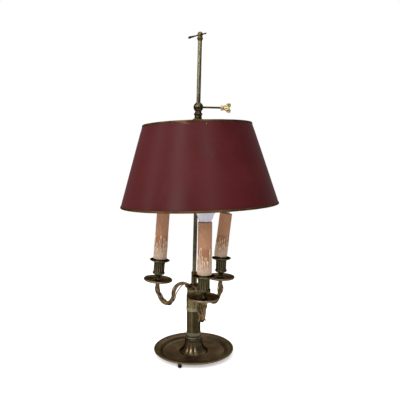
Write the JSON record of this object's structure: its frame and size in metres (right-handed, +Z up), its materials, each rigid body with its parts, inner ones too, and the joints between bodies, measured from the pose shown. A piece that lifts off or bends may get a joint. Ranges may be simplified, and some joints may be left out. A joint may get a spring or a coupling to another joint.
{
  "type": "bouillotte lamp",
  "caption": "Bouillotte table lamp: dished brass base, S-shaped candle branches, and a painted metal cone shade that slides and turns on a centre rod, held by a clamp key.",
  "frame": {"origin": "centre of the round felt on the underside of the base, on the table", "axes": "+Z up, +X towards the clamp key (right in the front view), -Y towards the front candle"},
  "size_m": [0.3331, 0.3334, 0.6806],
  "materials": {
    "brass_band": "pale brushed aged brass",
    "brass_base": "dark brown patinated brass, satin",
    "brass_bell": "dark brown patinated brass, polished highlights",
    "brass_branch": "warm aged brass, satin",
    "brass_collar": "dark aged brass, polished",
    "brass_cup": "dark olive aged brass, polished flutes",
    "brass_pan": "dark brown patinated brass, satin",
    "brass_rod": "olive aged brass",
    "brass_stem": "olive brown aged brass, polished",
    "bulb_cap": "plain screw cap",
    "bulb_clear": "clear",
    "bulb_opal": "opal white",
    "bush": "black-brown",
    "candle": "tan wax-look sleeve with pale drips",
    "felt": "pressed felt",
    "holder_plastic": "black thermoset",
    "key_brass": "pale worn brass, satin",
    "key_screw_metal": "dark aged brass",
    "shade_paint": "oxblood paint, eggshell",
    "shade_trim": "dull aged brass",
    "steel": "zinc plated",
    "wire": "brown cloth-covered flex"
  },
  "bodies": {
    "lamp": {"arrow_handle": "brass_rod", "base_bell": "brass_bell", "base_collar": "brass_bell", "base_dish": "brass_base", "base_felt": "felt", "base_nut": "steel", "base_washer": "steel", "branch_front": "brass_branch", "branch_hub": "brass_stem", "branch_left": "brass_branch", "branch_right": "brass_branch", "branch_wires_front": "wire", "branch_wires_left": "wire", "branch_wires_right": "wire", "bulb_cap_front": "bulb_cap", "bulb_cap_left": "bulb_cap", "bulb_cap_right": "bulb_cap", "bulb_front": "bulb_opal", "bulb_left": "bulb_opal", "bulb_right": "bulb_clear", "candle_cup_front": "brass_cup", "candle_cup_left": "brass_cup", "candle_cup_right": "brass_cup", "candle_nipple_front": "steel", "candle_nipple_left": "steel", "candle_nipple_right": "steel", "candle_sleeve_front": "candle", "candle_sleeve_left": "candle", "candle_sleeve_right": "candle", "capital": "brass_stem", "centre_rod": "brass_rod", "cord_bush": "bush", "drip_pan_front": "brass_pan", "drip_pan_left": "brass_pan", "drip_pan_right": "brass_pan", "holder_bracket_front": "steel", "holder_bracket_left": "steel", "holder_bracket_right": "steel", "lamp_holder_front": "holder_plastic", "lamp_holder_left": "holder_plastic", "lamp_holder_right": "holder_plastic", "rod_cap": "brass_rod", "rod_socket": "brass_rod", "stem_band": "brass_band", "stem_tube": "brass_stem", "threaded_tube": "steel"},
    "collar": {"slide_collar": "brass_collar", "spider_nut": "brass_collar"},
    "shade": {"shade_skin": "shade_paint", "shade_rim_top": "shade_trim", "shade_rim_bottom": "shade_trim", "shade_spider": "brass_collar"},
    "key_shank": {"key_screw": "key_screw_metal"},
    "key_wing": {"key_bow": "key_brass"}
  },
  "joints": [
    {"name": "collar_slide", "type": "slide", "parent": "lamp", "child": "collar", "axis": [0.0253, 0, 0.9997], "range_m": [-0.105, 0.12]},
    {"name": "shade_turn", "type": "hinge", "parent": "collar", "child": "shade", "pos_m": [0.00973, 0, 0.49948], "axis": [0.0253, 0, 0.9997], "continuous": true},
    {"name": "key_advance", "type": "slide", "parent": "collar", "child": "key_shank", "axis": [0.9997, 0, -0.0253], "range_m": [0, 0.0011]},
    {"name": "key_turn", "type": "hinge", "parent": "key_shank", "child": "key_wing", "pos_m": [0.01043, 0, 0.52707], "axis": [0.9997, 0, -0.0253], "range_deg": [0, 540]}
  ],
  "couplings": [
    {"joint": "key_advance", "follows": "key_turn", "m_per_rad": 0.00011141}
  ]
}
